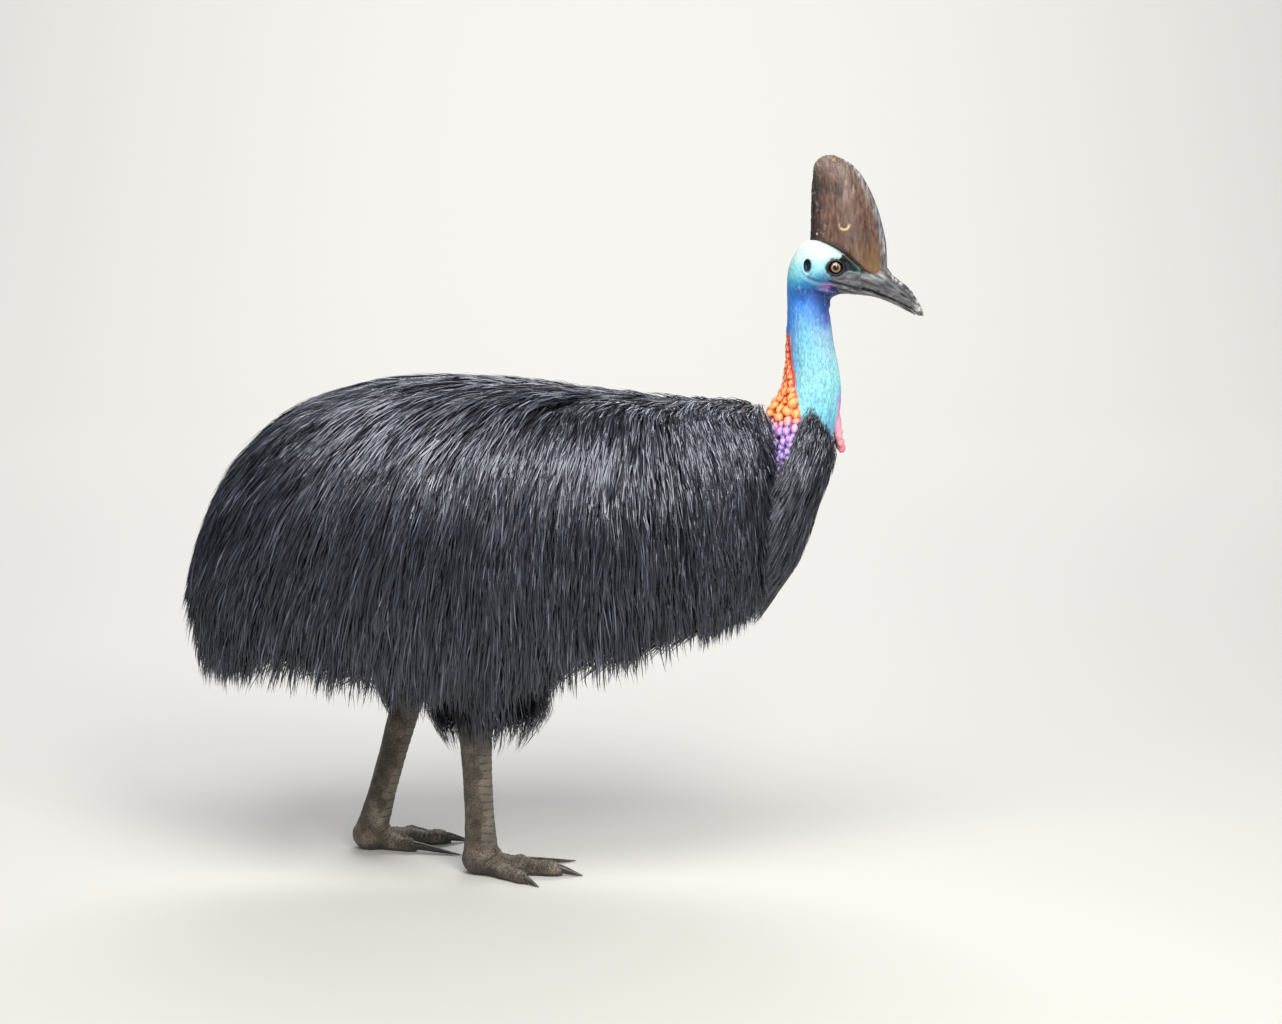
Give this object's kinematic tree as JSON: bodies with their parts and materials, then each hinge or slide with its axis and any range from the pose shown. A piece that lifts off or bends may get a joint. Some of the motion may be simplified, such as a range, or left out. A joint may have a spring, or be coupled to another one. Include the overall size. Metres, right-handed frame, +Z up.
{
  "type": "southern cassowary model",
  "caption": "Standing southern cassowary at life size: drooping black coat, blue neck with wattles and nape caruncles, tall casque, long-clawed feet.",
  "frame": {"origin": "bottom centre of the bounding box, on the floor that the soles stand on", "axes": "+X towards the bill, +Y to the bird's left, +Z up"},
  "size_m": [1.3315, 0.4234, 1.309],
  "materials": {
    "plumage": "glossy hair-like feathers",
    "neck_skin": "bare blue skin",
    "head_skin": "bare pale blue skin",
    "red_skin": "soft bulbs of bare skin",
    "bill_horn": "worn satin horn",
    "casque_horn": "worn satin horn",
    "iris": "wet",
    "claw_horn": "satin horn",
    "scaled_skin": "dry scaly skin"
  },
  "bodies": {
    "root": {"bill_lower": "bill_horn", "bill_upper": "bill_horn", "caruncles": "red_skin", "casque": "casque_horn", "claw_inner_left": "claw_horn", "claw_inner_right": "claw_horn", "claw_middle_left": "claw_horn", "claw_middle_right": "claw_horn", "claw_outer_left": "claw_horn", "claw_outer_right": "claw_horn", "ear_left": "head_skin", "ear_right": "head_skin", "eye_left": "iris", "eye_right": "iris", "head": "head_skin", "neck_lower": "plumage", "neck_upper": "neck_skin", "shank_left": "scaled_skin", "shank_right": "scaled_skin", "tail": "plumage", "thigh_left": "plumage", "thigh_right": "plumage", "toe_inner_left": "scaled_skin", "toe_inner_right": "scaled_skin", "toe_middle_left": "scaled_skin", "toe_middle_right": "scaled_skin", "toe_outer_left": "scaled_skin", "toe_outer_right": "scaled_skin", "torso": "plumage", "wattle_left": "red_skin", "wattle_right": "red_skin"}
  },
  "joints": []
}
